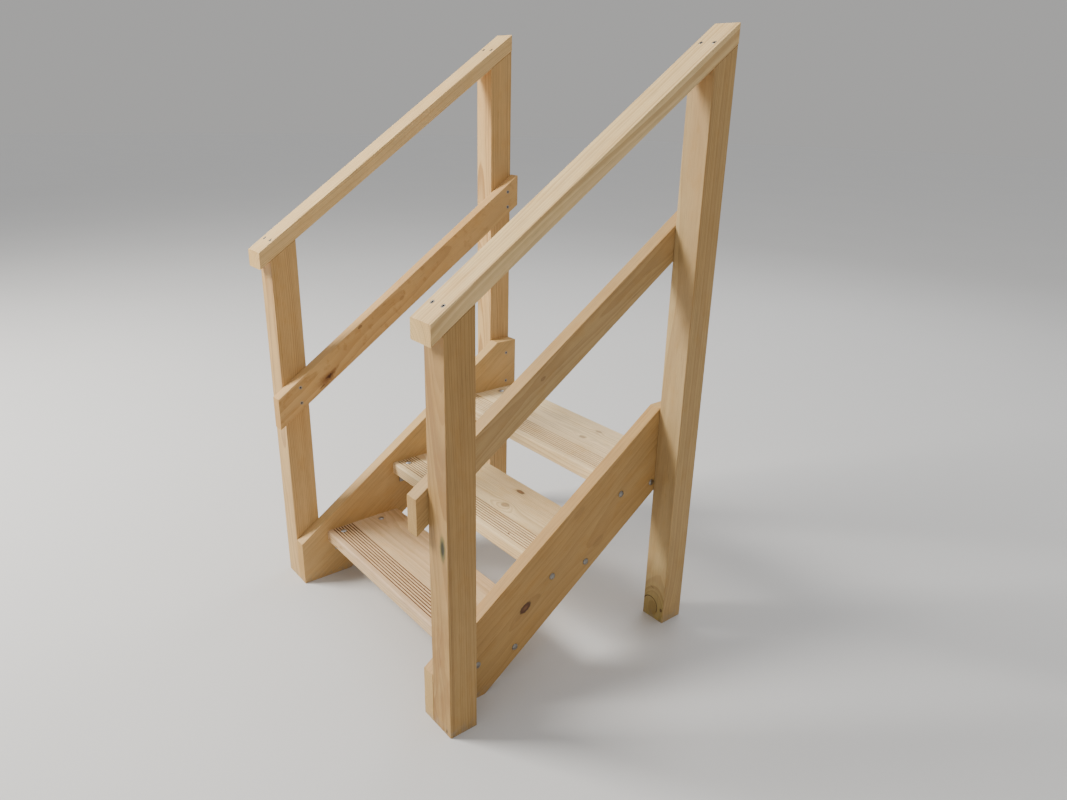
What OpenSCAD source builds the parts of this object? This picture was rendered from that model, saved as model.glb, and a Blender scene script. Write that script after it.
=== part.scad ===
/* [Steps] */
// Length of a tread, which is the clear width between the stringers
tread_l = 825; // [600:5:1200]
// Width of a tread from its nose to its back edge
tread_d = 290; // [240:5:320]
// Thickness of a tread
tread_t = 45; // [35:1:60]
// Height of the first tread's top above the ground
first_rise = 186; // [150:1:200]
// Height from one tread's top to the next
rise = 196; // [150:1:210]
// Distance from one nose to the next
going = 281; // [250:1:300]
// Distance from the front posts' front faces back to the first nose
first_nose = 100; // [60:1:140]
// Radius of the rounded nose edges
nose_r = 8; // [3:0.5:12]

/* [Grip grooves] */
// Number of grooves along each tread
groove_count = 8; // [4:1:12]
// Distance from one groove to the next
groove_pitch = 10.4; // [8:0.2:14]
// Distance from the nose to the first groove's centre line
groove_first = 24; // [20:1:40]
// Width of a groove at the tread's top
groove_w = 5.6; // [3:0.2:7]
// Depth of a groove
groove_depth = 2.6; // [1.5:0.1:2.8]

/* [Stringers] */
// Width of the stringer board
stringer_d = 240; // [220:5:290]
// Thickness of the stringer board
stringer_t = 45; // [35:1:60]
// Plumb height of the stringer's top edge above the noses
stringer_margin = 46; // [30:1:60]
// Height of the deck edge, where the stringers' top corners are cut level
deck_h = 770; // [740:5:790]
// Distance from the front face of the front posts to the back face of the back posts
base_l = 960; // [955:5:1100]

/* [Posts] */
// Size of the square posts
post_w = 90; // [70:5:120]

/* [Rails] */
// Width of the handrails and mid rails
rail_w = 90; // [70:5:120]
// Thickness of the handrails and mid rails
rail_t = 45; // [35:1:50]
// Height of the handrail's top at the front face of the front posts
rail_front_h = 1236; // [1100:5:1350]
// Height of the handrail's top at the back face of the back posts
rail_back_h = 1893; // [1750:5:2000]
// Distance that the handrails and mid rails run past the front posts
rail_overhang = 35; // [10:1:80]
// Plumb distance from the handrail's top down to the mid rail's top
mid_rail_drop = 483; // [350:5:600]

/* [Screw seats] */
// Diameter of the countersunk seat of a screw head
seat_d = 14.6; // [12:0.2:16]
// Depth of that seat
seat_depth = 4.4; // [3:0.2:5]
// Plumb distance from the mid rail's edges in to its screws
mid_screw_in = 27; // [20:1:32]
// Distance between the two screws across the handrail
top_screw_gap = 46; // [30:1:55]
// Distance from a post's front face back to the screws in the handrail's top
top_screw_set = 14; // [8:1:20]
// Distance from the stringer's level top down to the first screw into the back post
side_screw_in = 49; // [40:1:60]
// Distance from that screw down to the second one
side_screw_gap = 118; // [90:1:125]

/* [Tread brackets] */
// Length of the steel angle under each tread end
bracket_l = 200; // [190:5:220]
// Width of the bracket's flat leg, under the tread
bracket_flat = 60; // [55:1:75]
// Height of the bracket's upright leg, against the stringer
bracket_up = 40; // [36:1:50]
// Thickness of the steel
bracket_t = 4; // [3:0.5:6]
// Distance from the nose back to the middle of the bracket
bracket_set = 125; // [120:1:145]
// Distance between the two bolts in the upright leg
up_bolt_gap = 139; // [120:1:145]
// Distance from the tread's underside down to those bolts
up_bolt_drop = 21; // [18:1:24]
// Distance between the two bolts in the flat leg
flat_bolt_gap = 154; // [140:1:160]
// Distance from the stringer in to those bolts
flat_bolt_in = 35; // [30:1:40]
// Diameter of the bolt holes
bolt_hole = 11; // [9:0.5:13]

/* [Finish] */
// Radius of the eased long edges of the boards
arris_r = 3; // [1:0.5:5]

/* [Hidden] */

pine = "#d9bf8f";
zinc = "#b9bfc4";
// Sides of the flight, as signs of X for someone who climbs it
left = -1;
right = 1;
// How far a cutting shape runs past what it cuts
past = 5;

// The origin is on the ground under the middle of the whole length
front_y = rail_overhang - (rail_overhang + base_l) / 2;
back_y = front_y + base_l;

stringer_in_x = tread_l / 2;
post_in_x = stringer_in_x + stringer_t;
post_mid_x = post_in_x + post_w / 2;

pitch = atan2(rise, going);
rail_pitch = atan2(rail_back_h - rail_front_h, base_l);

function nose_y(i) = front_y + first_nose + (i - 1) * going;
function tread_top(i) = first_rise + (i - 1) * rise;
// Height of the stringers' top edge and of the handrails' top at a place along the flight
function stringer_top(y) = first_rise + stringer_margin + (y - nose_y(1)) * tan(pitch);
function rail_top(y) = rail_front_h + (y - front_y) * tan(rail_pitch);

// A board's cross-section with eased edges, its low corner at the origin
module eased(w, h, r = arris_r) {
    translate([r, 0]) square([w - 2 * r, h]);
    translate([0, r]) square([w, h - 2 * r]);
    for (x = [r, w - r], y = [r, h - r])
        translate([x, y]) circle(r, $fn = 32);
}

// A board laid along the flight at an angle: w wide on X from x_low, h deep at right angles to its top edge,
// which passes through height z where y is y_ref, from y_from to y_to with spare length for the plumb cuts
module sloped_board(x_low, w, h, y_ref, z, angle, y_from, y_to) {
    spare = h * tan(angle) + past;
    translate([x_low, y_ref, z])
        rotate([angle, 0, 0])
            translate([0, (y_from - y_ref) / cos(angle) - spare, -h])
                rotate([90, 0, 0])
                    mirror([0, 0, 1])
                        linear_extrude((y_to - y_from) / cos(angle) + 2 * spare)
                            eased(w, h);
}

// The upright slab between two plumb cuts
module plumb_slab(x_low, w, y_from, y_to, z_from, z_to) {
    translate([x_low - past, y_from, z_from])
        cube([w + 2 * past, y_to - y_from, z_to - z_from]);
}

// Holes through the stringer and the bracket's upright leg, from the inner face outwards
module up_bolt_holes(i, depth) {
    for (y = [-1, 1])
        translate([0, nose_y(i) + bracket_set + y * up_bolt_gap / 2, tread_top(i) - tread_t - up_bolt_drop])
            rotate([0, 90, 0])
                cylinder(d = bolt_hole, h = depth, center = true, $fn = 32);
}

// Holes down through the tread and the bracket's flat leg
module flat_bolt_holes(i, side, depth) {
    for (y = [-1, 1])
        translate([side * (stringer_in_x - flat_bolt_in), nose_y(i) + bracket_set + y * flat_bolt_gap / 2,
                   tread_top(i) - tread_t])
            cylinder(d = bolt_hole, h = depth, center = true, $fn = 32);
}

// Seats for countersunk screws driven outwards through a side's inner faces, whose x is given
module side_seats(side, face_x, y, heights) {
    for (z = heights)
        translate([side * face_x, y, z])
            rotate([0, side * 90, 0])
                screw_seat();
}

// The cone that a screw head leaves, its mouth just above the surface at z = 0 and its point below, at z > 0
module screw_seat() {
    mouth = 0.4;
    spread = mouth * seat_d / (2 * seat_depth);
    translate([0, 0, -mouth])
        cylinder(r1 = seat_d / 2 + spread, r2 = 0, h = seat_depth + mouth, $fn = 48);
}

module stringer(side) {
    x_low = side > 0 ? stringer_in_x : -stringer_in_x - stringer_t;
    color(pine)
    difference() {
        intersection() {
            sloped_board(x_low, stringer_t, stringer_d, front_y, stringer_top(front_y), pitch, front_y, back_y);
            plumb_slab(x_low, stringer_t, front_y, back_y, 0, deck_h);
        }
        for (i = [1 : 3])
            translate([side * (stringer_in_x + stringer_t / 2), 0, 0])
                up_bolt_holes(i, stringer_t + 2 * past);
        side_seats(side, stringer_in_x, back_y - post_w / 2,
                   [deck_h - side_screw_in, deck_h - side_screw_in - side_screw_gap]);
    }
}

// A post standing on the ground, its top cut to lie under the handrail
module standing_post(side, y_low) {
    x_low = side * post_mid_x - post_w / 2;
    under = rail_t / cos(rail_pitch);
    color(pine)
    difference() {
        translate([x_low, y_low, 0])
            linear_extrude(rail_top(y_low + post_w))
                eased(post_w, post_w);
        translate([x_low - past, y_low, rail_top(y_low) - under])
            rotate([rail_pitch, 0, 0])
                translate([0, -post_w, 0])
                    cube([post_w + 2 * past, 3 * post_w, 2 * post_w]);
    }
}

module handrail(side) {
    x_low = side * post_mid_x - rail_w / 2;
    y_from = front_y - rail_overhang;
    color(pine)
    difference() {
        intersection() {
            sloped_board(x_low, rail_w, rail_t, front_y, rail_front_h, rail_pitch, y_from, back_y);
            plumb_slab(x_low, rail_w, y_from, back_y, 0, 2 * rail_back_h);
        }
        for (y = [front_y + top_screw_set, back_y - post_w + top_screw_set], x = [-0.5, 0.5])
            translate([side * post_mid_x + x * top_screw_gap, y, rail_top(y)])
                rotate([180 + rail_pitch, 0, 0])
                    screw_seat();
    }
}

module mid_rail(side) {
    x_low = side > 0 ? post_in_x - rail_t : -post_in_x;
    y_from = front_y - rail_overhang;
    low_screw_drop = rail_w / cos(rail_pitch) - mid_screw_in;
    color(pine)
    difference() {
        intersection() {
            sloped_board(x_low, rail_t, rail_w, front_y, rail_front_h - mid_rail_drop, rail_pitch, y_from, back_y);
            plumb_slab(x_low, rail_t, y_from, back_y, 0, 2 * rail_back_h);
        }
        for (y = [front_y + post_w / 2, back_y - post_w / 2])
            side_seats(side, post_in_x - rail_t, y,
                       [for (drop = [mid_screw_in, low_screw_drop]) rail_top(y) - mid_rail_drop - drop]);
    }
}

// Side outline of a tread, from its nose at the origin to its back edge, with the grooves in its top
module tread_outline() {
    groove_r = (pow(groove_w / 2, 2) + pow(groove_depth, 2)) / (2 * groove_depth);
    difference() {
        union() {
            translate([nose_r, 0]) square([tread_d - nose_r - arris_r, tread_t]);
            translate([0, nose_r]) square([tread_d, tread_t - 2 * nose_r]);
            translate([tread_d - 2 * arris_r, arris_r]) square([2 * arris_r, tread_t - 2 * arris_r]);
            for (z = [nose_r, tread_t - nose_r])
                translate([nose_r, z]) circle(nose_r, $fn = 48);
            for (z = [arris_r, tread_t - arris_r])
                translate([tread_d - arris_r, z]) circle(arris_r, $fn = 32);
        }
        for (n = [0 : groove_count - 1])
            translate([groove_first + n * groove_pitch, tread_t - groove_depth + groove_r])
                circle(groove_r, $fn = 40);
    }
}

module tread(i) {
    color(pine)
    difference() {
        translate([-tread_l / 2, nose_y(i), tread_top(i) - tread_t])
            rotate([90, 0, 90])
                linear_extrude(tread_l)
                    tread_outline();
        for (side = [left, right])
            flat_bolt_holes(i, side, 2 * tread_t + past);
    }
}

// Steel angle: the upright leg against the stringer, the flat leg under the tread, with a round inside corner
module bracket(i, side) {
    y_low = nose_y(i) + bracket_set - bracket_l / 2;
    color(zinc)
    difference() {
        translate([side * stringer_in_x, y_low, tread_top(i) - tread_t])
            mirror([side > 0 ? 1 : 0, 0, 0])
                rotate([90, 0, 0])
                    mirror([0, 0, 1])
                        linear_extrude(bracket_l)
                            difference() {
                                translate([0, -bracket_up]) square([bracket_flat, bracket_up]);
                                translate([2 * bracket_t, -bracket_up - past])
                                    square([bracket_flat, bracket_up + past - bracket_t]);
                                translate([bracket_t, -bracket_up - past])
                                    square([bracket_flat, bracket_up + past - 2 * bracket_t]);
                                translate([2 * bracket_t, -2 * bracket_t]) circle(bracket_t, $fn = 32);
                            }
        translate([side * (stringer_in_x - bracket_t / 2), 0, 0])
            up_bolt_holes(i, bracket_t + 2 * past);
        flat_bolt_holes(i, side, 2 * bracket_t + past);
    }
}

stringer(left);  // stringer_left
stringer(right);  // stringer_right
standing_post(left, front_y);  // post_front_left
standing_post(right, front_y);  // post_front_right
standing_post(left, back_y - post_w);  // post_back_left
standing_post(right, back_y - post_w);  // post_back_right
handrail(left);  // handrail_left
handrail(right);  // handrail_right
mid_rail(left);  // mid_rail_left
mid_rail(right);  // mid_rail_right
tread(1);  // tread_1
tread(2);  // tread_2
tread(3);  // tread_3
bracket(1, left);  // bracket_1_left
bracket(1, right);  // bracket_1_right
bracket(2, left);  // bracket_2_left
bracket(2, right);  // bracket_2_right
bracket(3, left);  // bracket_3_left
bracket(3, right);  // bracket_3_right
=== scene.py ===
"""Finishes the wooden deck stairs: pine boards, zinc brackets, bolts, nuts and screws.

It also lays a plain floor, hangs the lights and sets the camera.
"""

import math

import bmesh
import bpy
from bpy.props import FloatProperty, FloatVectorProperty, IntProperty, PointerProperty
from mathutils import Matrix, Vector


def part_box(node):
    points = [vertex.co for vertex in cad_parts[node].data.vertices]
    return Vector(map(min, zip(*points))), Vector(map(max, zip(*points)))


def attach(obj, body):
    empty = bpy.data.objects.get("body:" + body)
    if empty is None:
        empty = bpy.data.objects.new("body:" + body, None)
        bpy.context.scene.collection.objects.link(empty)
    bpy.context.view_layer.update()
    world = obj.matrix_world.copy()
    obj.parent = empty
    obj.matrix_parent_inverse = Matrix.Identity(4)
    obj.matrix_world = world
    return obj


bl_info = {
    "name": "Wooden deck stairs",
    "version": (1, 0, 0),
    "blender": (4, 5, 0),
    "location": "3D View > Sidebar > Deck Stairs",
    "description": "Timber and zinc finishes, bolts and screws for a flight of wooden deck stairs",
    "category": "Object",
}

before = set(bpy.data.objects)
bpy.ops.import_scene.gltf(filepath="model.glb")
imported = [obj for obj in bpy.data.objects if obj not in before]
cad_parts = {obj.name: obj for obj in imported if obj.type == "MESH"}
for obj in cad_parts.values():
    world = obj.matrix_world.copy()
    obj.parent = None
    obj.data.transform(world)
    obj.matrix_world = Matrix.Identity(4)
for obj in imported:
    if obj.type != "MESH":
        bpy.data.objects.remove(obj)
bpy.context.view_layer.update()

BODY = "root"
SIDES = {"left": -1, "right": 1}
UP = Vector((0, 0, 1))


# Places and slopes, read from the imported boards

def low(node):
    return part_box(node)[0]


def high(node):
    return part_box(node)[1]


def mid_y(node):
    return (low(node).y + high(node).y) / 2


PITCH = math.atan2(high("tread_2").z - high("tread_1").z, low("tread_2").y - low("tread_1").y)
RAIL_PITCH = math.atan2(
    high("post_back_right").z - high("post_front_right").z,
    high("post_back_right").y - high("post_front_right").y)
RAIL_W = high("handrail_right").x - low("handrail_right").x
MID_RAIL_DROP = high("handrail_right").z - high("mid_rail_right").z
INNER_X = low("stringer_right").x
OUTER_X = high("stringer_right").x
POST_MID_X = (low("post_back_right").x + high("post_back_right").x) / 2

# Sizes and places that the boards' boxes don't tell, in metres. Bolts and screws stand in pairs, and a way
# is the distance of each from the pair's middle.

RAIL_T = 0.045
BRACKET_T = 0.004
STRINGER_MID_Y, STRINGER_MID_Z = 0.0686, 0.3865
TREAD_BOLT_FROM_STRINGER = 0.035
TREAD_BOLT_WAY = 0.077
STRINGER_BOLT_BELOW_TREAD = 0.021
STRINGER_BOLT_WAY = 0.0695
HANDRAIL_SCREW_BEHIND_FACE = 0.014
HANDRAIL_SCREW_WAY = 0.023
MID_RAIL_SCREW_FROM_EDGE = 0.027
STRINGER_SCREW_DROPS = (0.049, 0.167)


def rail_top(y):
    """Height of the handrail's top at a place along the flight."""
    return high("post_front_right").z + RAIL_T / math.cos(RAIL_PITCH) \
        + (y - high("post_front_right").y) * math.tan(RAIL_PITCH)


# Sizes and colours that a user would change

class PineSettings(bpy.types.PropertyGroup):
    early: FloatVectorProperty(
        name="Early wood", description="Colour of the pale wood of each ring",
        subtype="COLOR", min=0, max=1, default=(0.625, 0.437, 0.215))
    late: FloatVectorProperty(
        name="Late wood", description="Colour of the dense wood that ends each ring",
        subtype="COLOR", min=0, max=1, default=(0.350, 0.196, 0.074))
    knot: FloatVectorProperty(
        name="Knot", description="Colour of a knot's wood",
        subtype="COLOR", min=0, max=1, default=(0.105, 0.043, 0.017))
    bark: FloatVectorProperty(
        name="Knot edge", description="Colour of the bark line round a knot",
        subtype="COLOR", min=0, max=1, default=(0.040, 0.018, 0.009))
    # The groove tint is partly the colour of the cut grain and partly painted shade inside the grooves
    groove_tint_and_shade: FloatVectorProperty(
        name="Groove", description="Tint of the wood inside the grip grooves",
        subtype="COLOR", min=0, max=1, default=(0.19, 0.095, 0.060))
    contrast: FloatProperty(
        name="Ring contrast", description="How strongly the late wood shows",
        subtype="FACTOR", min=0, max=1, default=0.72)
    fibre_depth: FloatProperty(
        name="Fibre depth", description="Depth of the fine lines along the grain",
        unit="LENGTH", subtype="DISTANCE", min=0, max=0.001, default=0.00009)


class ZincSettings(bpy.types.PropertyGroup):
    colour: FloatVectorProperty(
        name="Zinc", description="Colour of the zinc plating",
        subtype="COLOR", min=0, max=1, default=(0.42, 0.418, 0.41))
    roughness: FloatProperty(
        name="Roughness", description="Dullness of the zinc plating",
        subtype="FACTOR", min=0, max=1, default=0.30)


class BoltSettings(bpy.types.PropertyGroup):
    head_d: FloatProperty(
        name="Cup head", description="Diameter of the bolt's domed head",
        unit="LENGTH", subtype="DISTANCE", default=0.0216)
    head_h: FloatProperty(
        name="Head height", description="Height of the domed head",
        unit="LENGTH", subtype="DISTANCE", default=0.0052)
    shank_d: FloatProperty(
        name="Shank", description="Diameter of the bolt's shank",
        unit="LENGTH", subtype="DISTANCE", default=0.0098)
    thread_pitch: FloatProperty(
        name="Thread pitch", description="Distance between two turns of the thread",
        unit="LENGTH", subtype="DISTANCE", default=0.0015)
    thread_turns: IntProperty(
        name="Turns", description="Turns of thread that stand past the nut", min=1, max=12, default=4)
    nut_flats: FloatProperty(
        name="Nut", description="Width of the nut across its flats",
        unit="LENGTH", subtype="DISTANCE", default=0.016)
    nut_h: FloatProperty(
        name="Nut height", description="Height of the nut",
        unit="LENGTH", subtype="DISTANCE", default=0.0082)
    washer_d: FloatProperty(
        name="Washer", description="Diameter of the washer",
        unit="LENGTH", subtype="DISTANCE", default=0.021)
    washer_t: FloatProperty(
        name="Washer thickness", description="Thickness of the washer",
        unit="LENGTH", subtype="DISTANCE", default=0.002)


class ScrewSettings(bpy.types.PropertyGroup):
    seat_d: FloatProperty(
        name="Seat", description="Diameter of the cone seat in the timber",
        unit="LENGTH", subtype="DISTANCE", default=0.0146)
    seat_depth: FloatProperty(
        name="Seat depth", description="Depth of the cone seat",
        unit="LENGTH", subtype="DISTANCE", default=0.0044)
    sunk: FloatProperty(
        name="Sunk", description="Depth of the screw's head below the timber's face",
        unit="LENGTH", subtype="DISTANCE", default=0.0005)
    socket: FloatProperty(
        name="Socket", description="Width of the six-sided driver socket across its flats",
        unit="LENGTH", subtype="DISTANCE", default=0.0056)


class StageSettings(bpy.types.PropertyGroup):
    floor: FloatVectorProperty(
        name="Floor", description="Colour of the plain floor",
        subtype="COLOR", min=0, max=1, default=(0.645, 0.645, 0.645))
    key_power: FloatProperty(
        name="Key light", description="Power of the large light in front and to the left",
        unit="POWER", min=0, default=700)
    fill_power: FloatProperty(
        name="Fill light", description="Power of the faint, large light on the right",
        unit="POWER", min=0, default=6)
    top_strength: FloatProperty(
        name="Top light", description="Strength of the wide, even light from overhead", min=0, default=0.73)
    back_power: FloatProperty(
        name="Back light", description="Power of the light behind the flight",
        unit="POWER", min=0, default=80)


GROUPS = {
    "stairs_pine": PineSettings,
    "stairs_zinc": ZincSettings,
    "stairs_bolt": BoltSettings,
    "stairs_screw": ScrewSettings,
    "stairs_stage": StageSettings,
}


# Shader maths

class Wire:
    """An output of a finish's node. Arithmetic on it adds Math nodes."""

    def __init__(self, finish, socket):
        self.finish = finish
        self.socket = socket

    def maths(self, operation, first, second=0.0):
        return self.finish.node("Math", {"operation": operation}, {0: first, 1: second})

    def __add__(self, other):
        return self.maths("ADD", self, other)

    __radd__ = __add__

    def __sub__(self, other):
        return self.maths("SUBTRACT", self, other)

    def __rsub__(self, other):
        return self.maths("SUBTRACT", other, self)

    def __mul__(self, other):
        return self.maths("MULTIPLY", self, other)

    __rmul__ = __mul__

    def __truediv__(self, other):
        return self.maths("DIVIDE", self, other)

    def __rtruediv__(self, other):
        return self.maths("DIVIDE", other, self)

    def __pow__(self, other):
        return self.maths("POWER", self, other)

    def __rpow__(self, other):
        return self.maths("POWER", other, self)

    def __abs__(self):
        return self.maths("ABSOLUTE", self)

    def whole(self):
        return self.maths("FLOOR", self)

    def remainder(self):
        """What the number has past its whole part."""
        return self.maths("FRACT", self)

    def sine(self):
        return self.maths("SINE", self)

    def least(self, other):
        return self.maths("MINIMUM", self, other)

    def smooth(self, start, stop):
        """0 at start and 1 at stop, with a soft ramp between them."""
        return self.finish.node(
            "MapRange", {"interpolation_type": "SMOOTHSTEP", "clamp": True},
            {"Value": self, "From Min": start, "From Max": stop})


class Finish:
    """A material in the making. Its patterns read Object coordinates."""

    def __init__(self, name):
        self.material = bpy.data.materials.new(name)
        self.material.use_nodes = True
        self.tree = self.material.node_tree
        self.tree.nodes.clear()
        self.place = self.node("TexCoord", out="Object")

    def node(self, kind, settings=None, sockets=None, out=0):
        """Adds a node: its settings first, then the values and links of its sockets."""
        made = self.tree.nodes.new("ShaderNode" + kind)
        for name, value in (settings or {}).items():
            setattr(made, name, value)
        for name, value in (sockets or {}).items():
            if isinstance(value, Wire):
                self.tree.links.new(value.socket, made.inputs[name])
            else:
                made.inputs[name].default_value = value
        if len(made.outputs) == 0:
            return None
        return Wire(self, made.outputs[out])

    def parts(self, vector, kind="SeparateXYZ"):
        """The three parts of a vector, or of a colour where the kind is SeparateColor."""
        first = self.node(kind, None, {0: vector})
        return [Wire(self, socket) for socket in first.socket.node.outputs]

    def axes(self, vector):
        return dict(zip("xyz", self.parts(vector)))

    def joined(self, x, y, z):
        return self.node("CombineXYZ", None, {0: x, 1: y, 2: z})

    def noise(self, vector, scale, seed, detail=2.0, roughness=0.5, out="Fac"):
        """Noise of a scale along each axis. The seed shifts it to a part that nothing else shows."""
        shift = (seed * 3.7 + 11.0, seed * 5.3 + 7.0, seed * 2.9 + 3.0)
        placed = self.node(
            "Mapping", {"vector_type": "POINT"}, {"Vector": vector, "Scale": scale, "Location": shift})
        return self.node(
            "TexNoise", {"noise_dimensions": "3D"},
            {"Vector": placed, "Scale": 1.0, "Detail": detail, "Roughness": roughness}, out)

    def even_noise(self, scale, seed, detail=2.0):
        """Noise of the same scale in all directions, between -0.5 and 0.5."""
        return self.noise(self.place, (scale, scale, scale), seed, detail) - 0.5

    def noise_along(self, value, seed):
        return self.node(
            "TexNoise", {"noise_dimensions": "1D"},
            {"W": value + seed * 7.1, "Scale": 1.0, "Detail": 2.0, "Roughness": 0.5})

    def mix(self, first, second, factor, blend="MIX"):
        return self.node(
            "Mix", {"data_type": "RGBA", "blend_type": blend, "clamp_factor": True},
            {0: factor, 6: first, 7: second}, 2)

    def tinted(self, colour, tint, factor):
        """A colour multiplied by a tint, as far as the factor says."""
        return self.mix(colour, rgba(tint), factor, "MULTIPLY")

    def painted(self, colour, over, factor):
        """A colour with another laid over it, as far as the factor says."""
        return self.mix(colour, rgba(over), factor)

    def scaled(self, colour, value):
        first = colour if isinstance(colour, Wire) else tuple(colour)
        return self.node("VectorMath", {"operation": "SCALE"}, {0: first, "Scale": value})

    def facing(self, direction):
        """1 where the surface faces along the direction or against it, 0 where it runs along it."""
        normal = self.node("NewGeometry", out="Normal")
        return abs(self.node(
            "VectorMath", {"operation": "DOT_PRODUCT"}, {0: normal, 1: direction}, "Value"))

    def surface(self, colour, roughness, height, **constants):
        """Joins the colour, the roughness and the relief in one shader and gives the material."""
        bump = self.node("Bump", None, {"Strength": 1.0, "Distance": 1.0, "Height": height})
        sockets = {"Base Color": colour, "Roughness": roughness, "Normal": bump}
        sockets.update(constants)
        shader = self.node("BsdfPrincipled", None, sockets)
        self.node("OutputMaterial", None, {"Surface": shader})
        return self.material


def rgba(colour):
    return (*colour, 1.0)


def times(colour, tone):
    return [part * share for part, share in zip(colour, tone)]


def oval(across, along, half_width, half_length):
    """Distance from the middle of an oval, with 1 on its outline."""
    wide = across / half_width
    long = along / half_length
    return (wide * wide + long * long) ** 0.5


# The pine boards

# Where each board's pith lies from the middle of its section, its ring width, how its grain leans along
# it and its tone, which is partly the board's own colour and partly painted light and shade: the right
# posts, the right stringer and the right mid rail are darkened as painted shade, and the handrails and the
# treads, the upper two most, are paler as painted light, the treads cooler too. Some also have the
# contrast of their rings, how far a knot swells the rings round it, or the tint of their sawn ends, which
# on the right stringer are paler as painted light. A knot is its place on the board, the axis that it
# runs along, its radius, its length as a share of its width, how dark it is, and how strongly its edge shows.
BOARDS = {
    "stringer_left": {
        "pith": (0.120, 0.035), "ring": 0.0075, "taper": (0.012, -0.006), "tone": (0.96, 0.90, 0.78),
        "contrast": 0.34, "swell": 0.6, "knots": [
            ((-0.435, 0.080, 0.359), "x", 0.009, 1.3, 0.6, 0.4),
            ((-0.435, 0.330, 0.556), "x", 0.012, 1.3, 0.8, 0.6)]},
    "stringer_right": {
        "pith": (-0.175, -0.025), "ring": 0.0085, "taper": (-0.014, 0.010), "tone": (0.80, 0.70, 0.53),
        "contrast": 0.38, "swell": 0.40, "ends": (1.20, 1.30, 1.45), "knots": [
            ((0.435, -0.1293, 0.2442), "x", 0.0125, 1.75, 1.0, 0.5),
            ((0.435, -0.1560, 0.2180), "x", 0.0080, 1.6, 0.10, 0.0),
            ((0.435, 0.0770, 0.5026), "x", 0.0110, 2.4, 0.13, 0.0),
            ((0.435, 0.1651, 0.3720), "x", 0.0120, 2.2, 0.15, 0.0)]},
    "post_front_left": {
        "pith": (0.020, 0.135), "ring": 0.0056, "taper": (0.004, 0.010), "tone": (1.00, 0.94, 0.83),
        "contrast": 0.80, "knots": [
            ((-0.5025, -0.4100, 0.120), "x", 0.009, 1.3, 0.55, 0.4)]},
    "post_front_right": {
        "pith": (0.052, 0.100), "ring": 0.0082, "taper": (0.050, 0.018), "tone": (0.72, 0.64, 0.50),
        "contrast": 0.70, "knots": [
            ((0.4513, -0.4175, 0.0667), "y", 0.015, 1.7, 0.10, 0.10),
            ((0.4950, -0.4175, 0.2450), "y", 0.009, 4.0, 0.11, 0.0)]},
    "post_back_left": {
        "pith": (-0.020, -0.120), "ring": 0.0058, "taper": (-0.006, 0.034), "tone": (1.06, 0.99, 0.86),
        "knots": [
            ((-0.495, 0.4525, 0.600), "y", 0.010, 1.4, 0.6, 0.5)]},
    "post_back_right": {
        "pith": (0.010, 0.125), "ring": 0.0095, "taper": (0.005, -0.010), "tone": (0.84, 0.78, 0.66),
        "contrast": 0.74, "knots": [
            ((0.488, 0.4525, 0.040), "y", 0.030, 1.20, 0.12, 0.0),
            ((0.5385, 0.4525, 0.047), "y", 0.0050, 1.3, 0.80, 0.3)]},
    "handrail_left": {
        "pith": (0.055, -0.055), "ring": 0.0066, "taper": (0.006, 0.006), "tone": (1.25, 1.24, 1.19),
        "contrast": 0.60, "knots": []},
    "handrail_right": {
        "pith": (-0.060, -0.050), "ring": 0.0078, "taper": (0.005, 0.008), "tone": (1.27, 1.30, 1.31),
        "contrast": 0.72, "knots": []},
    "mid_rail_left": {
        "pith": (-0.085, 0.020), "ring": 0.0078, "taper": (0.010, 0.008), "tone": (1.02, 0.91, 0.75),
        "contrast": 0.45, "swell": 0.35, "knots": [
            ((-0.435, -0.1858, 0.9314), "x", 0.0045, 2.0, 0.60, 0.2),
            ((-0.435, -0.0160, 1.0107), "x", 0.0060, 1.8, 0.22, 0.0)]},
    "mid_rail_right": {
        "pith": (0.090, 0.015), "ring": 0.0060, "taper": (-0.009, 0.009), "tone": (0.81, 0.76, 0.67),
        "contrast": 0.50, "swell": 0.45, "knots": [
            ((0.435, -0.0844, 0.9727), "x", 0.0050, 1.8, 0.40, 0.15)]},
    "tread_1": {
        "pith": (0.060, -0.100), "ring": 0.0042, "taper": (0.008, 0.008), "tone": (1.19, 1.25, 1.54),
        "contrast": 0.60, "knots": [
            ((-0.2157, -0.3062, 0.163), "z", 0.0016, 1.2, 1.0, 0.5),
            ((0.1122, -0.2733, 0.163), "z", 0.0014, 1.2, 1.0, 0.5)]},
    "tread_2": {
        "pith": (-0.030, -0.080), "ring": 0.0046, "taper": (-0.006, 0.010), "tone": (1.34, 1.49, 1.78),
        "contrast": 0.75, "knots": [
            ((0.2606, -0.0439, 0.359), "z", 0.0018, 1.2, 1.0, 0.5),
            ((0.0608, 0.1605, 0.359), "z", 0.0085, 2.2, 0.80, 0.35),
            ((0.1038, 0.0605, 0.359), "z", 0.0115, 1.35, 0.42, 0.25)]},
    "tread_3": {
        "pith": (0.045, -0.090), "ring": 0.0044, "taper": (0.007, 0.009), "tone": (1.37, 1.54, 1.88),
        "contrast": 0.75, "knots": [
            ((0.1583, 0.4356, 0.555), "z", 0.0075, 1.7, 0.40, 0.15),
            ((0.1569, 0.3569, 0.555), "z", 0.0075, 1.7, 0.38, 0.15)]},
}
PLAIN_CONTRAST = 1.0
PLAIN_SWELL = 0.9
PLAIN_ENDS = (0.95, 0.91, 0.80)

# The widths within which the pith sways along a board and a ring wavers, in metres
SWAY = 0.045
WAVER = 0.0045
# How unevenly the rings are spaced, in rings
UNEVEN = 2.8
# How much a knot's outline frays, and how its push on the rings falls off with the square of the distance
KNOT_FRAY = 0.50
KNOT_FADE = 0.16
FADE_BASE = 2.718
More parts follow.
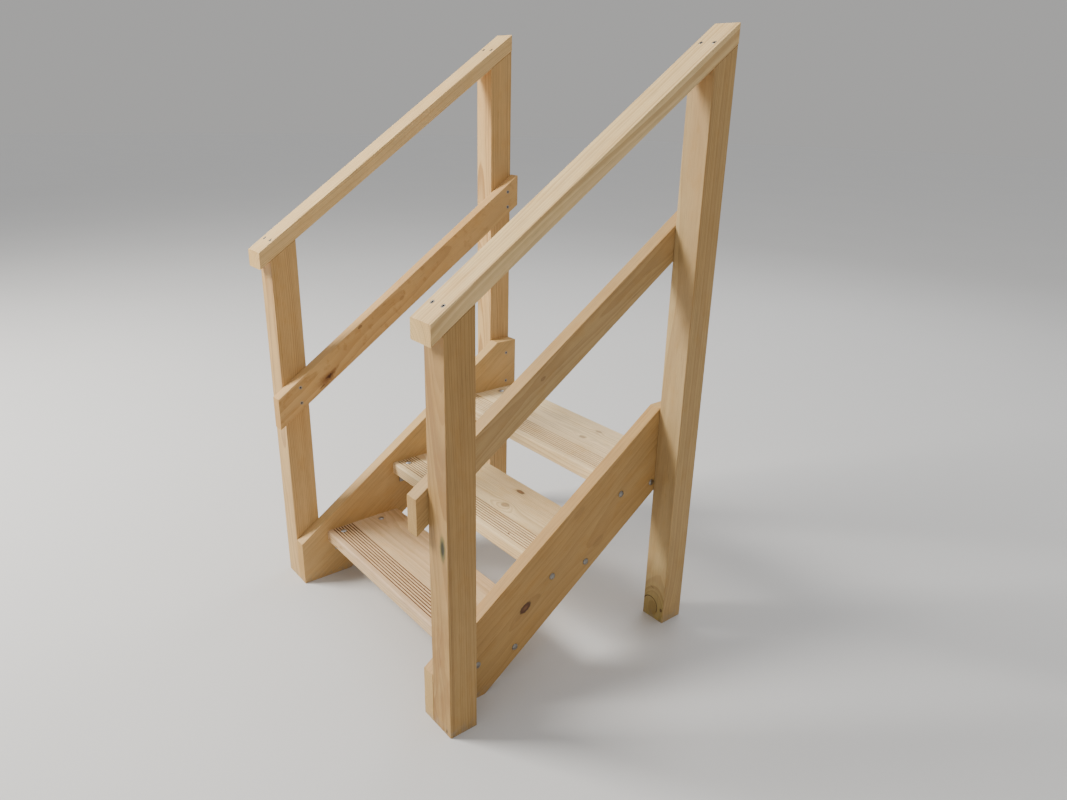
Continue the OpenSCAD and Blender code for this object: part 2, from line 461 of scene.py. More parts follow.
# Heights of the surface's relief, in metres
LATE_RELIEF = 0.00006
THREAD_RELIEF = 0.00003
FLECK_RELIEF = 0.00006
KNOT_RELIEF = 0.00012
BARK_RELIEF = 0.00022
KERF_RELIEF = 0.00005
PORE_RELIEF = 0.00012
# The saw that cut the ends: how far to the side its middle was, in metres, and how close its marks are, in
# radians a metre
SAW_MIDDLE = 0.9
SAW_MARKS = 1500.0


def board_frame(name):
    """The board's lean, the middle of its section and the order of its axes, its length last."""
    if name.startswith("post"):
        along, lean = "z", 0.0
    elif name.startswith("tread"):
        along, lean = "x", 0.0
    else:
        along, lean = "y", PITCH if name.startswith("stringer") else RAIL_PITCH
    middle = (low(name) + high(name)) / 2
    if name.startswith("stringer"):
        middle = Vector((middle.x, STRINGER_MID_Y, STRINGER_MID_Z))
    order = {"z": "xyz", "x": "yzx", "y": "xzy"}[along]
    return lean, middle, order


def sawn_ends(f, lean, along):
    """1 on the cut ends of a board, 0 on its long faces."""
    if along == "y":
        sideways = f.facing((1, 0, 0)).smooth(0.5, 0.3)
        level = f.facing((0, -math.sin(lean), math.cos(lean))).smooth(0.97, 0.93)
        return sideways * level
    return f.facing({"x": (1, 0, 0), "z": (0, 0, 1)}[along]).smooth(0.40, 0.62)


def pine(name):
    """The finish of one dressed pine board: rings about its pith, fibres, flecks, knots and sawn ends."""
    pine_set = bpy.context.scene.stairs_pine
    board = BOARDS[name]
    seed = 1.0 + sorted(BOARDS).index(name) * 1.37
    lean, middle, order = board_frame(name)
    turn = Matrix.Rotation(-lean, 3, "X")
    f = Finish(f"pine_{name}")

    # Board coordinates: u and v across the section, t along the grain
    local = f.node(
        "Mapping", {"vector_type": "POINT"},
        {"Vector": f.place, "Location": -(turn @ middle), "Rotation": (-lean, 0, 0)})
    axes = f.axes(local)
    u, v, t = (axes[axis] for axis in order)
    grain = f.joined(u, v, t)
    world = f.axes(f.place)

    # Distance from the pith, which sways along the board
    sway_u, sway_v, _ = f.parts(f.noise(grain, (3.5, 3.5, 1.0), seed, 1.5, out="Color"), "SeparateColor")
    (pith_u, pith_v), (taper_u, taper_v) = board["pith"], board["taper"]
    from_u = u - pith_u + t * taper_u + (sway_u - 0.5) * SWAY
    from_v = v - pith_v + t * taper_v + (sway_v - 0.5) * SWAY
    radius = (from_u * from_u + from_v * from_v) ** 0.5
    radius = radius + (f.noise(grain, (22, 22, 4.5), seed + 2) - 0.5) * WAVER

    # Knots push the rings aside
    ragged = f.noise(grain, (140, 140, 110), seed + 4) - 0.5
    nearest, heart, edge, halo = None, 0.0, 0.0, 0.0
    for place, axis, size, stretch, dark, rim in board["knots"]:
        at = dict(zip("xyz", turn @ (Vector(place) - middle)))
        side = next(a for a in order[:2] if a != axis)
        across = axes[side] - at[side]
        down = (axes[order[2]] - at[order[2]]) / stretch
        even_gap = (across * across + down * down) ** 0.5 / size
        gap = even_gap * (1.0 + ragged * KNOT_FRAY)
        near = FADE_BASE ** (even_gap * even_gap * -KNOT_FADE)
        radius = radius - near * (size * board.get("swell", PLAIN_SWELL))
        heart = gap.smooth(1.12, 0.86) * dark + heart
        edge = abs(gap - 1.03).smooth(0.20, 0.0) * rim + edge
        halo = near ** 3.0 * (0.12 + 0.42 * dark) + halo
        nearest = gap if nearest is None else nearest.least(gap)

    # Rings, each with its own width and depth of colour
    turns = radius / board["ring"] + f.noise_along(radius * 45.0, seed + 5) * UNEVEN
    within = turns.remainder()
    depth = f.node("TexWhiteNoise", {"noise_dimensions": "1D"}, {"W": turns.whole() + seed}, "Value")
    late = within.smooth(0.30, 0.93) * within.smooth(1.0, 0.955) * (0.40 + depth * 0.60)
    early = within.smooth(0.0, 0.5)

    fibre = f.noise(grain, (620, 620, 8.0), seed + 6, 3.0, 0.65) - 0.5
    thread = f.noise(grain, (1700, 1700, 45.0), seed + 7) - 0.5
    fleck = f.noise(grain, (520, 520, 15.0), seed + 8, 0.5).smooth(0.66, 0.78)
    tone = f.noise(grain, (6.0, 6.0, 1.3), seed + 9)
    cloud = f.noise(grain, (19, 19, 7.0), seed + 10, 4.0) - 0.5
    blotch = f.noise(grain, (25, 25, 13), seed + 15, 3.0, 0.6).smooth(0.48, 0.72)

    # Colour: the rings, then warm, greenish and brown parts of the board, then the knots
    # Painted light and shade: each board's tone holds them as well as the board's own colour
    early_colour = rgba(times(pine_set.early, board["tone"]))
    late_colour = rgba(times(pine_set.late, board["tone"]))
    strength = pine_set.contrast * board.get("contrast", PLAIN_CONTRAST)
    wood = f.mix(early_colour, late_colour, late * strength + early * 0.06)
    wood = f.tinted(wood, (0.93, 0.85, 0.70), tone.smooth(0.42, 0.66) * 0.50)
    wood = f.tinted(wood, (0.97, 0.97, 0.88), tone.smooth(0.50, 0.34) * 0.45)
    wood = f.tinted(wood, (0.95, 0.85, 0.64), blotch * 0.40)
    if board["knots"]:
        wood = f.painted(wood, pine_set.late, halo.least(0.85))
        rays = f.noise(grain, (330, 330, 330), seed + 12) - 0.5
        knot_rings = (nearest * 9.0 + ragged * 6.0).sine() * 0.09
        middle_pale = nearest.smooth(0.85, 0.10)
        knot_wood = f.scaled(pine_set.knot, 1.0 + middle_pale * 1.1 + knot_rings + rays * 0.8)
        wood = f.mix(wood, knot_wood, heart.least(1.0))
        wood = f.painted(wood, pine_set.bark, edge.least(1.0))
    wood = f.scaled(wood, 1.0 + fibre * 0.42 + thread * 0.30 + cloud * 0.24 - fleck * 0.20)

    # Sawn ends have a tint of their own and are rougher, with the marks of the blade. The right stringer's
    # paler ends are painted light.
    ends = sawn_ends(f, lean, order[2])
    first, second = ("x", "y") if order[2] == "z" else ("x", "z")
    swing = ((world[first] - SAW_MIDDLE) * (world[first] - SAW_MIDDLE) + world[second] * world[second]) ** 0.5
    kerf = (swing * SAW_MARKS + ragged * 3.0).sine()
    pores = f.noise(grain, (900, 900, 60), seed + 13, 1.0) - 0.5
    end_tint = f.scaled(board.get("ends", PLAIN_ENDS), 0.95 + kerf * 0.03 + pores * 0.30)
    end_wood = f.node("VectorMath", {"operation": "MULTIPLY"}, {0: wood, 1: end_tint})
    wood = f.mix(wood, end_wood, ends)

    height = late * LATE_RELIEF + fibre * pine_set.fibre_depth + thread * THREAD_RELIEF - fleck * FLECK_RELIEF
    height = height + heart * KNOT_RELIEF - edge * BARK_RELIEF
    height = height + ends * (kerf * KERF_RELIEF + pores * PORE_RELIEF)
    rough = 0.60 - late * 0.07 + fibre * 0.12 + ends * 0.16 - heart * 0.10

    for mark in MARKS.get(name, ()):
        wood, rough, height = mark(f, world, wood, rough, height, ragged)

    # Dust on the feet of the boards that stand on the ground
    if name.startswith(("post", "stringer")):
        patches = f.noise(grain, (60, 60, 60), seed + 14, 3.0).smooth(0.38, 0.66)
        dust = world["z"].smooth(0.045, 0.0) * patches
        wood = f.painted(wood, (0.33, 0.28, 0.22), dust * 0.45)

    return f.surface(wood, rough.least(0.95), height, **{"IOR": 1.46, "Specular IOR Level": 0.38})


# Marks that only one board has

def front_face(f, world, node):
    """1 on the face of a post that the climber sees, 0 elsewhere."""
    middle = mid_y(node)
    return f.facing((0, 1, 0)).smooth(0.7, 0.9) * world["y"].smooth(middle + 0.01, middle - 0.01)


def green_pocket(f, world, wood, rough, height, ragged):
    """A green and black bark pocket near the edge of the front post, a slit at its foot and a brown smear."""
    pocket_x, pocket_z, pocket_half_w, pocket_half_h = 0.5240, 0.6050, 0.0165, 0.050
    slit_x, slit_z, slit_half_w, slit_half_h = 0.5280, 0.0125, 0.0034, 0.0105
    front = front_face(f, world, "post_front_right")
    gap = oval(world["x"] - pocket_x, world["z"] - pocket_z, pocket_half_w, pocket_half_h)
    gap = gap * (1.0 + ragged * 0.35)
    pocket = gap.smooth(1.0, 0.55) * front
    core = gap.smooth(0.62, 0.25) * front
    smear = f.noise(f.joined(world["x"], world["y"], world["z"] * 0.25), (38, 38, 38), 14.0, 3.0)
    smear = smear.smooth(0.42, 0.64) * world["z"].smooth(0.46, 0.30) * front
    slit = oval(world["x"] - slit_x, world["z"] - slit_z, slit_half_w, slit_half_h).smooth(1.0, 0.5) * front
    wood = f.tinted(wood, (0.83, 0.75, 0.67), smear * 0.85)
    wood = f.painted(wood, (0.130, 0.115, 0.036), pocket * 0.88)
    wood = f.painted(wood, (0.026, 0.026, 0.010), core * 0.92)
    wood = f.painted(wood, (0.030, 0.022, 0.012), slit)
    return wood, rough, height - core * 0.0006 - slit * 0.001


def ring_shake(f, world, wood, rough, height, ragged):
    """Dark cracks by the knot at the back post's foot, on a front face that is paler and cooler, partly for
    its sapwood and partly as painted skylight, and green near the ground.
    """
    knot_x, knot_z, crack_radius, short_above = 0.4880, 0.0430, 0.0320, 0.076
    front = front_face(f, world, "post_back_right")
    side = world["x"] - knot_x
    up = world["z"] - knot_z
    reach = (side * side + up * up * 0.80) ** 0.5 + ragged * 0.0030
    upper_right = (up + side * 0.55).smooth(-0.004, 0.006)
    arc = abs(reach - crack_radius).smooth(0.0024, 0.0006) * upper_right
    short = abs(up - short_above + side * 0.25 + ragged * 0.002).smooth(0.0013, 0.0003)
    short = short * abs(side - 0.004).smooth(0.010, 0.006)
    crack = (arc + short).least(1.0) * front
    green = world["z"].smooth(0.17, 0.03) * front
    # Painted light: the front face is paler and cooler, partly its sapwood's tone and partly painted skylight
    wood = f.tinted(wood, (1.0, 1.10, 1.28), front)
    wood = f.tinted(wood, (0.86, 0.90, 0.60), green * 0.8)
    wood = f.painted(wood, (0.060, 0.027, 0.012), crack * 0.92)
    return wood, rough, height - crack * 0.0008


def bark_streak(f, world, wood, rough, height, ragged):
    """A dark streak in a red-brown stain, low on the left mid rail, with a nick beside it and smudges."""
    streak_y, streak_z, slant = -0.3110, 0.7765, math.radians(41)
    nick_along, nick_over, nick_half_l, nick_half_w = -0.0409, -0.0053, 0.0170, 0.0034
    middle = (low("mid_rail_left").x + high("mid_rail_left").x) / 2
    inner = f.facing((1, 0, 0)).smooth(0.7, 0.9) * world["x"].smooth(middle - 0.004, middle + 0.004)
    level = world["y"] - streak_y
    up = world["z"] - streak_z
    along = level * math.cos(slant) + up * math.sin(slant)
    over = up * math.cos(slant) - level * math.sin(slant)
    wobble = f.even_noise(42, 9.0)
    fray = f.even_noise(150, 10.0, 3.0)
    half_w = along.smooth(0.045, -0.035) * 0.0100 + 0.0046
    gap = oval(over + wobble * 0.014, along, half_w, 0.036) + fray * 0.8
    stain = gap.smooth(1.90, 0.40) * inner
    core = gap.smooth(0.60, 0.18) * inner
    nick = oval(over - nick_over + wobble * 0.006, along - nick_along, nick_half_w, nick_half_l)
    nick = (nick + fray * 0.5).smooth(1.0, 0.30) * inner
    smudge = f.noise(f.place, (36, 36, 36), 12.0, 3.0).smooth(0.56, 0.70) * inner
    wood = f.tinted(wood, (0.76, 0.68, 0.58), smudge * 0.50)
    wood = f.painted(wood, (0.180, 0.060, 0.016), stain * 0.80)
    wood = f.painted(wood, (0.110, 0.036, 0.010), nick * 0.72)
    wood = f.painted(wood, (0.055, 0.017, 0.008), core * 0.90)
    return wood, rough, height - core * 0.0003


def nose_stain(f, world, wood, rough, height, ragged):
    """A brown smear on the first tread's nose, towards its left end, and a cooler tone along the lip."""
    behind = world["y"] - low("tread_1").y
    top = high("tread_1").z
    nose = behind.smooth(0.013, 0.004)
    left = world["x"].smooth(-0.22, -0.34)
    smear = f.noise(f.joined(world["x"] * 0.45, world["y"], world["z"]), (60, 60, 60), 6.0, 3.0)
    smear = smear.smooth(0.50, 0.66)
    lip = world["z"].smooth(top - 0.016, top - 0.006) * behind.smooth(0.024, 0.019)
    wood = f.tinted(wood, (0.66, 0.54, 0.40), nose * left * smear * 0.8)
    wood = f.tinted(wood, (0.86, 0.84, 0.90), lip * 0.75)
    return wood, rough, height


def grooves(node, depth_of_tint):
    """The wood of the milled grooves, rougher than the tread's face and darker, partly for the cut grain and
    partly as painted shade.
    """

    def mark(f, world, wood, rough, height, ragged):
        groove_tint_and_shade = bpy.context.scene.stairs_pine.groove_tint_and_shade
        depth = high(node).z - world["z"]
        behind = world["y"] - low(node).y
        zone = behind.smooth(0.016, 0.0185) * behind.smooth(0.106, 0.1035) * depth.smooth(0.0042, 0.0032)
        inside = depth.smooth(0.0006, 0.0018) * zone
        fuzz = f.noise(f.joined(world["x"] * 0.25, world["y"], world["z"]), (900, 900, 900), 4.0) - 0.5
        # Painted shade, with the cut grain's own colour: the tint darkens the wood inside the grooves
        milled_and_shaded = f.tinted(f.scaled(wood, 0.95 + fuzz * 0.5), groove_tint_and_shade, depth_of_tint)
        return f.mix(wood, milled_and_shaded, inside), rough + inside * 0.2, height + inside * fuzz * 0.0002

    return mark


MARKS = {
    "post_front_right": [green_pocket],
    "post_back_right": [ring_shake],
    "mid_rail_left": [bark_streak],
    # The grooves' tint, partly painted shade, is strongest on the first tread and fainter on the upper two
    "tread_1": [grooves("tread_1", 1.0), nose_stain],
    "tread_2": [grooves("tread_2", 0.82)],
    "tread_3": [grooves("tread_3", 0.62)],
}


# Zinc

def zinc(name, tint, dull=0.0):
    """Zinc plating with faint crystals, clouds, a fine grain and stains, and painted shade inside screw
    sockets. The tint colours each set; on the bolts it is painted light and shade. A dull one is darker and
    rougher.
    """
    zinc_set = bpy.context.scene.stairs_zinc
    f = Finish(name)
    crystal = f.node(
        "TexVoronoi", {"feature": "F1"}, {"Vector": f.place, "Scale": 210.0, "Randomness": 1.0}, "Color")
    shade = f.parts(crystal, "SeparateColor")[0]
    cloud = f.even_noise(70, 3.0, 3.0)
    fine = f.even_noise(1400, 5.0)
    stain = f.noise(f.place, (190, 190, 190), 8.0, 3.0).smooth(0.60, 0.74)
    bright = 0.90 - dull * 0.12 + shade * 0.10 + cloud * 0.18 + fine * 0.06
    colour = f.scaled(times(zinc_set.colour, tint), bright)
    colour = f.painted(colour, (0.50, 0.52, 0.53), stain * 0.4)
    # Painted shade inside a screw's socket, where its layer is 1
    hollow = f.node("Attribute", {"attribute_name": "hollow"}, out="Fac")
    colour = f.painted(colour, (0.045, 0.040, 0.036), hollow * 0.9)
    rough = zinc_set.roughness + dull * 0.12 + shade * 0.08 + cloud * 0.16 + stain * 0.20
    height = shade * 0.000006 + fine * 0.000012 + cloud * 0.00003
    return f.surface(colour, rough, height, Metallic=1.0)


def dress(nodes, material_of):
    """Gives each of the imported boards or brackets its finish."""
    for node in nodes:
        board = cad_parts[node]
        material = material_of(node)
        if not board.data.materials:
            board.data.materials.append(material)
        for slot in board.material_slots:
            slot.link = "OBJECT"
            slot.material = material


# Fasteners

HEX_SHARE = math.cos(math.pi / 6)
SHARP_ANGLE = math.radians(32)
# How far a set's first fastener is turned about its shank, and how much further each next one is
FIRST_TURN, TURN_STEP = 0.9, 1.7
# The rim's share of a domed head's height, the dome's steps in degrees from its top, and how far the head
# bites into the timber
DOME_RIM = 0.14
DOME_ANGLES = (0, 14, 28, 42, 56, 70, 82, 90)
BITE = 0.0002
# The root of the thread and the bolt's tip as shares of the shank, and the tip's length
THREAD_ROOT = 0.86
TIP_SHARE, TIP_LENGTH = 0.80, 0.0011
# Chamfers of the washer and the nut
WASHER_EDGE = 0.0003
NUT_EDGE = 0.0007
# The depth of a screw's socket, and the stub of its shank under the head
SOCKET_DEPTH = 0.0019
SCREW_SHANK_RADIUS, SCREW_STUB = 0.0026, 0.004


def turned(bm, profile, steps=32):
    """Adds a shape turned about the Z axis from (radius, height) points."""
    points = [bm.verts.new((radius, 0, height)) for radius, height in profile]
    edges = [bm.edges.new(pair) for pair in zip(points, points[1:])]
    bmesh.ops.spin(
        bm, geom=points + edges, cent=(0, 0, 0), axis=UP, angle=2 * math.pi, steps=steps,
        use_merge=True, use_duplicate=False, dvec=(0, 0, 0))
    bmesh.ops.remove_doubles(bm, verts=bm.verts, dist=1e-6)


def bolt(through):
    """A cup head bolt, its head on the face at z = 0, with a washer and nut below what it goes through."""
    size = bpy.context.scene.stairs_bolt
    bm = bmesh.new()
    head, tall, shank = size.head_d / 2, size.head_h, size.shank_d / 2
    angles = [math.radians(angle) for angle in DOME_ANGLES]
    dome = [(head * math.sin(a), tall * (DOME_RIM + (1 - DOME_RIM) * math.cos(a))) for a in angles]
    rim = [(head, -BITE), (shank, -BITE)]
    nut_low = -through - size.washer_t - size.nut_h
    ridges = [(shank, nut_low)]
    for turn in range(size.thread_turns):
        top = nut_low - turn * size.thread_pitch
        ridges += [(shank * THREAD_ROOT, top - size.thread_pitch * 0.5), (shank, top - size.thread_pitch)]
    tip = ridges[-1][1] - TIP_LENGTH
    turned(bm, dome + rim + ridges + [(shank * TIP_SHARE, tip), (0, tip)])

    washer = size.washer_d / 2
    top = -through
    bottom = top - size.washer_t
    ring = [
        (shank, top), (washer - WASHER_EDGE, top), (washer, top - WASHER_EDGE),
        (washer, bottom + WASHER_EDGE), (washer - WASHER_EDGE, bottom), (shank, bottom)]
    turned(bm, ring + ring[:1])

    corner = size.nut_flats / 2 / HEX_SHARE
    made = bmesh.ops.create_cone(
        bm, cap_ends=True, segments=6, radius1=corner, radius2=corner, depth=size.nut_h,
        matrix=Matrix.Translation((0, 0, bottom - size.nut_h / 2)))
    sides = set(made["verts"])
    rims = [edge for edge in bm.edges if sides.issuperset(edge.verts)
            and abs(edge.verts[0].co.z - edge.verts[1].co.z) < 1e-6]
    bmesh.ops.bevel(
        bm, geom=rims, offset=NUT_EDGE, offset_type="OFFSET", segments=2, profile=0.5,
        affect="EDGES", material=-1, clamp_overlap=True)
    bmesh.ops.recalc_face_normals(bm, faces=bm.faces)
    return bm


def screw():
    """A countersunk screw's head with a six-sided socket, in its seat below the face at z = 0."""
    size = bpy.context.scene.stairs_screw
    bm = bmesh.new()
    seat = size.seat_d / 2
    head = seat * (1 - size.sunk / size.seat_depth) - 0.0001
    top = -size.sunk
    socket = size.socket / 2 / HEX_SHARE
    floor = top - SOCKET_DEPTH
    stub = -size.seat_depth - SCREW_STUB
    # From the middle of the socket's floor up its wall, out over the head, down the cone and along the shank
    profile = [
        (0, floor - 0.0003), (socket * 0.55, floor), (socket, floor + 0.0001), (socket, top - 0.0002),
        (socket + 0.0002, top), (head - 0.0004, top + 0.0001), (head, top - 0.0002),
        (head - 0.0003, top - 0.0008), (SCREW_SHANK_RADIUS, -size.seat_depth),
        (SCREW_SHANK_RADIUS, stub), (0, stub)]
    turned(bm, profile, steps=36)

    # The socket's round wall becomes six-sided
    for vert in bm.verts:
        reach = vert.co.xy.length
        if 1e-6 < reach < socket + 0.0003 and vert.co.z > floor - 0.0002:
            angle = math.atan2(vert.co.y, vert.co.x) % (math.pi / 3) - math.pi / 6
            vert.co.xy *= HEX_SHARE / math.cos(angle)

    # Painted shade: the finish is dark where this layer is 1, inside the socket
    hollow = bm.verts.layers.float.new("hollow")
    for vert in bm.verts:
        if vert.co.xy.length < socket + 0.0001 and floor - 0.0005 < vert.co.z < top - 0.0001:
            vert[hollow] = 1.0
    bmesh.ops.recalc_face_normals(bm, faces=bm.faces)
    return bm


def set_of(name, part, places, material):
    """Makes one piece of the same fastener at several places, each a point and where its head faces."""
    whole = bmesh.new()
    for number, (point, outwards) in enumerate(places):
        copy = part.copy()
        aim = Vector(outwards).to_track_quat("Z", "Y").to_matrix().to_4x4()
        spun_by = Matrix.Rotation(FIRST_TURN + number * TURN_STEP, 4, "Z")
        copy.transform(Matrix.Translation(point) @ aim @ spun_by)
        shape = bpy.data.meshes.new("fastener")
        copy.to_mesh(shape)
        copy.free()
        whole.from_mesh(shape)
        bpy.data.meshes.remove(shape)
    part.free()
    mesh = bpy.data.meshes.new(name)
    whole.to_mesh(mesh)
    whole.free()
    mesh.materials.append(material)
    mesh.shade_smooth()
    mesh.set_sharp_from_angle(angle=SHARP_ANGLE)
    piece = bpy.data.objects.new(name, mesh)
    bpy.context.scene.collection.objects.link(piece)
    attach(piece, BODY)


# The stage

FLOOR_RADIUS = 30.0
SKY_COLOUR, SKY_STRENGTH = (0.885, 0.875, 0.86), 0.48
LIGHT_TARGET = Vector((0.0, 0.0, 0.75))
TOP_COLOUR, TOP_WIDTH, TOP_LEAN = (0.97, 0.985, 1.0), math.radians(80), math.radians(-12)

# The photograph's camera: its place, its turns in degrees, its focal length and its picture's width in pixels
CAMERA_PLACE = (2.0465, -1.4286, 1.7113)
CAMERA_TURNS = (50.4636, -21.0625, 1.3978)
FOCAL_PIXELS, PICTURE_PIXELS = 805.18, 1067
SENSOR_MM = 36.0


def add_to_scene(name, data, matrix=None):
    made = bpy.data.objects.new(name, data)
    if matrix is not None:
        made.matrix_world = matrix
    bpy.context.scene.collection.objects.link(made)
    return made


def lay_floor(stage):
    bm = bmesh.new()
    bmesh.ops.create_circle(bm, cap_ends=True, segments=96, radius=FLOOR_RADIUS)
    mesh = bpy.data.meshes.new("floor")
    bm.to_mesh(mesh)
    bm.free()
    floor = add_to_scene("floor", mesh)
    f = Finish("floor")
    cloud = f.even_noise(1.1, 2.0, 3.0)
    grit = f.even_noise(420, 4.0)
    colour = f.scaled(stage.floor, 1.0 + cloud * 0.04 + grit * 0.05)
    matt = {"Specular IOR Level": 0.15}
    mesh.materials.append(f.surface(colour, 0.9 + grit * 0.1, grit * 0.0002, **matt))


def hang_lights(stage):
    world = bpy.data.worlds.new("studio")
    world.use_nodes = True
    sky = world.node_tree.nodes["Background"]
    sky.inputs["Color"].default_value = rgba(SKY_COLOUR)
    sky.inputs["Strength"].default_value = SKY_STRENGTH
    bpy.context.scene.world = world

    # Each large light's name, place, width, power and colour
    lights = (
        ("key_light", (-3.4, -3.8, 4.5), 2.2, stage.key_power, (1.0, 0.965, 0.90)),
        ("fill_light", (4.8, -1.2, 2.6), 3.6, stage.fill_power, (1.0, 0.93, 0.82)),
        ("back_light", (-1.6, 4.6, 4.2), 3.0, stage.back_power, (0.97, 0.98, 1.0)),
    )
    for name, place, size, power, colour in lights:
        light = bpy.data.lights.new(name, "AREA")
        light.shape = "SQUARE"
        light.size = size
        light.energy = power
        light.color = colour
        aim = (LIGHT_TARGET - Vector(place)).to_track_quat("-Z", "Y").to_matrix().to_4x4()
        lamp = add_to_scene(name, light, Matrix.Translation(place) @ aim)
        lamp.visible_camera = False

    even = bpy.data.lights.new("top_light", "SUN")
    even.energy = stage.top_strength
    even.angle = TOP_WIDTH
    even.color = TOP_COLOUR
    add_to_scene("top_light", even, Matrix.Translation((0, 0, 6)) @ Matrix.Rotation(TOP_LEAN, 4, "X"))


def set_camera():
    """Sets the view that the photograph was taken from."""
    yaw, pitch, roll = (math.radians(angle) for angle in CAMERA_TURNS)
    ahead = Vector((-math.sin(yaw) * math.cos(pitch), math.cos(yaw) * math.cos(pitch), math.sin(pitch)))
    level = Vector((math.cos(yaw), math.sin(yaw), 0.0))
    upright = level.cross(ahead)
    right = level * math.cos(roll) + upright * math.sin(roll)
    above = upright * math.cos(roll) - level * math.sin(roll)
    lens = bpy.data.cameras.new("camera")
    lens.sensor_fit = "HORIZONTAL"
    lens.sensor_width = SENSOR_MM
    lens.lens = FOCAL_PIXELS / PICTURE_PIXELS * SENSOR_MM
    lens.clip_start = 0.05
    lens.clip_end = 100.0
    turn = Matrix((right, above, -ahead)).transposed().to_4x4()
    bpy.context.scene.camera = add_to_scene("camera", lens, Matrix.Translation(CAMERA_PLACE) @ turn)


# Operators

class STAIRS_OT_stage(bpy.types.Operator):
    """Lay the floor, hang the lights and set the camera"""

    bl_idname = "stairs.stage"
    bl_label = "Stage"

    def execute(self, context):
        lay_floor(context.scene.stairs_stage)
        hang_lights(context.scene.stairs_stage)
        set_camera()
        return {"FINISHED"}


class STAIRS_OT_stringers(bpy.types.Operator):
    """Finish the two stringers in pine"""

    bl_idname = "stairs.stringers"
    bl_label = "Stringers"

    def execute(self, context):
        dress([f"stringer_{side}" for side in SIDES], pine)
        return {"FINISHED"}


class STAIRS_OT_posts(bpy.types.Operator):
    """Finish the four posts in pine"""

    bl_idname = "stairs.posts"
    bl_label = "Posts"

    def execute(self, context):
        dress([f"post_{end}_{side}" for end in ("front", "back") for side in SIDES], pine)
        return {"FINISHED"}


class STAIRS_OT_rails(bpy.types.Operator):
    """Finish the handrails and the mid rails in pine"""

    bl_idname = "stairs.rails"
    bl_label = "Rails"

    def execute(self, context):
        dress([f"{rail}_{side}" for rail in ("handrail", "mid_rail") for side in SIDES], pine)
        return {"FINISHED"}


class STAIRS_OT_treads(bpy.types.Operator):
    """Finish the three grooved treads in pine"""

    bl_idname = "stairs.treads"
    bl_label = "Treads"

    def execute(self, context):
        dress([f"tread_{number}" for number in (1, 2, 3)], pine)
        return {"FINISHED"}


class STAIRS_OT_brackets(bpy.types.Operator):
    """Finish the six steel angles in zinc"""

    bl_idname = "stairs.brackets"
    bl_label = "Brackets"

    def execute(self, context):
        plating = zinc("zinc_bracket", (1.0, 1.0, 1.0), dull=1.0)
        dress([f"bracket_{number}_{side}" for number in (1, 2, 3) for side in SIDES], lambda node: plating)
        return {"FINISHED"}


class STAIRS_OT_tread_bolts(bpy.types.Operator):
    """Bolt each tread down to its brackets"""

    bl_idname = "stairs.tread_bolts"
    bl_label = "Tread bolts"

    def execute(self, context):
        # Painted light: the tread bolts are tinted paler and cooler than plain zinc
        plating = zinc("zinc_tread_bolt", (1.15, 1.20, 1.30))
        for number in (1, 2, 3):
            top = high(f"tread_{number}").z
            places = []
            for side, sign in SIDES.items():
                x = sign * (INNER_X - TREAD_BOLT_FROM_STRINGER)
                middle = mid_y(f"bracket_{number}_{side}")
                places += [((x, middle + way * TREAD_BOLT_WAY, top), UP) for way in (-1, 1)]
            through = top - high(f"bracket_{number}_left").z + BRACKET_T
            set_of(f"tread_{number}_bolts", bolt(through), places, plating)
        return {"FINISHED"}


class STAIRS_OT_stringer_bolts(bpy.types.Operator):
    """Bolt each bracket to its stringer"""

    bl_idname = "stairs.stringer_bolts"
    bl_label = "Stringer bolts"

    def execute(self, context):
        # Painted shade: the stringer bolts are tinted darker and warmer than plain zinc
        plating = zinc("zinc_stringer_bolt", (0.74, 0.70, 0.64))
        through = OUTER_X - INNER_X + BRACKET_T
        for side, sign in SIDES.items():
            outwards = (sign, 0, 0)
            places = []
            for number in (1, 2, 3):
                bracket = f"bracket_{number}_{side}"
                middle = mid_y(bracket)
                z = high(bracket).z - STRINGER_BOLT_BELOW_TREAD
                places += [((sign * OUTER_X, middle + way * STRINGER_BOLT_WAY, z), outwards)
                           for way in (-1, 1)]
            set_of(f"stringer_{side}_bolts", bolt(through), places, plating)
        return {"FINISHED"}


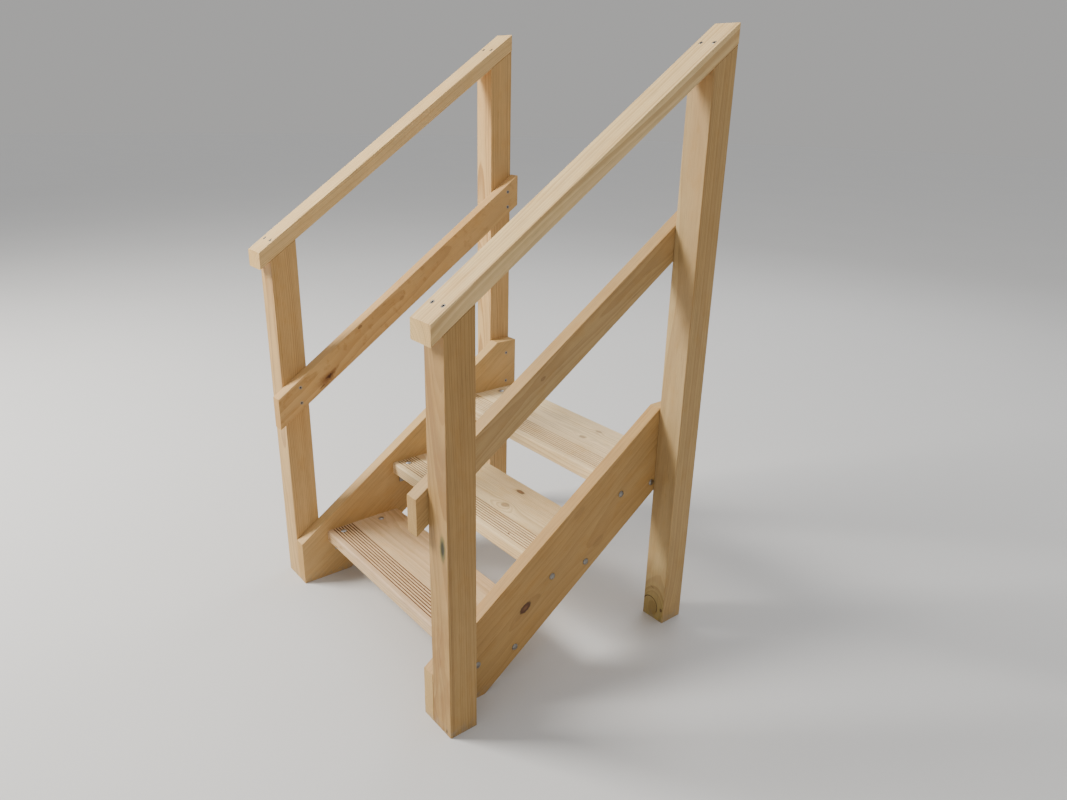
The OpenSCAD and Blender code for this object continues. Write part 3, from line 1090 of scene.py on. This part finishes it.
class STAIRS_OT_screws(bpy.types.Operator):
    """Drive the screws of the handrails, the mid rails and the stringers' back ends"""

    bl_idname = "stairs.screws"
    bl_label = "Screws"

    def execute(self, context):
        plating = zinc("zinc_screw", (0.90, 0.88, 0.84))
        square = (0, -math.sin(RAIL_PITCH), math.cos(RAIL_PITCH))
        deep = RAIL_W / math.cos(RAIL_PITCH)
        mid_drops = (MID_RAIL_SCREW_FROM_EDGE, deep - MID_RAIL_SCREW_FROM_EDGE)
        for side, sign in SIDES.items():
            inwards = (-sign, 0, 0)
            rail_places, mid_places = [], []
            for end in ("front", "back"):
                y = low(f"post_{end}_{side}").y + HANDRAIL_SCREW_BEHIND_FACE
                rail_places += [((sign * POST_MID_X + way * HANDRAIL_SCREW_WAY, y, rail_top(y)), square)
                                for way in (-1, 1)]
                y = mid_y(f"post_{end}_right")
                edge = rail_top(y) - MID_RAIL_DROP
                mid_places += [((sign * INNER_X, y, edge - drop), inwards) for drop in mid_drops]
            y = mid_y("post_back_right")
            top = high(f"stringer_{side}").z
            side_places = [((sign * INNER_X, y, top - drop), inwards) for drop in STRINGER_SCREW_DROPS]
            set_of(f"handrail_{side}_screws", screw(), rail_places, plating)
            set_of(f"mid_rail_{side}_screws", screw(), mid_places, plating)
            set_of(f"stringer_{side}_screws", screw(), side_places, plating)
        return {"FINISHED"}


OPERATORS = (
    STAIRS_OT_stage,
    STAIRS_OT_stringers,
    STAIRS_OT_posts,
    STAIRS_OT_rails,
    STAIRS_OT_treads,
    STAIRS_OT_brackets,
    STAIRS_OT_tread_bolts,
    STAIRS_OT_stringer_bolts,
    STAIRS_OT_screws,
)


class STAIRS_PT_panel(bpy.types.Panel):
    """Lists the pieces of the deck stairs"""

    bl_idname = "STAIRS_PT_panel"
    bl_label = "Deck Stairs"
    bl_space_type = "VIEW_3D"
    bl_region_type = "UI"
    bl_category = "Deck Stairs"

    def draw(self, context):
        for operator in OPERATORS:
            self.layout.operator(operator.bl_idname)


def register():
    for group in GROUPS.values():
        bpy.utils.register_class(group)
    for name, group in GROUPS.items():
        setattr(bpy.types.Scene, name, PointerProperty(type=group))
    for operator in OPERATORS:
        bpy.utils.register_class(operator)
    bpy.utils.register_class(STAIRS_PT_panel)


def unregister():
    bpy.utils.unregister_class(STAIRS_PT_panel)
    for operator in reversed(OPERATORS):
        bpy.utils.unregister_class(operator)
    for name in GROUPS:
        delattr(bpy.types.Scene, name)
    for group in GROUPS.values():
        bpy.utils.unregister_class(group)


def main():
    register()
    bpy.ops.stairs.stage()
    bpy.ops.stairs.stringers()
    bpy.ops.stairs.posts()
    bpy.ops.stairs.rails()
    bpy.ops.stairs.treads()
    bpy.ops.stairs.brackets()
    bpy.ops.stairs.tread_bolts()
    bpy.ops.stairs.stringer_bolts()
    bpy.ops.stairs.screws()


if __name__ == "__main__":
    main()
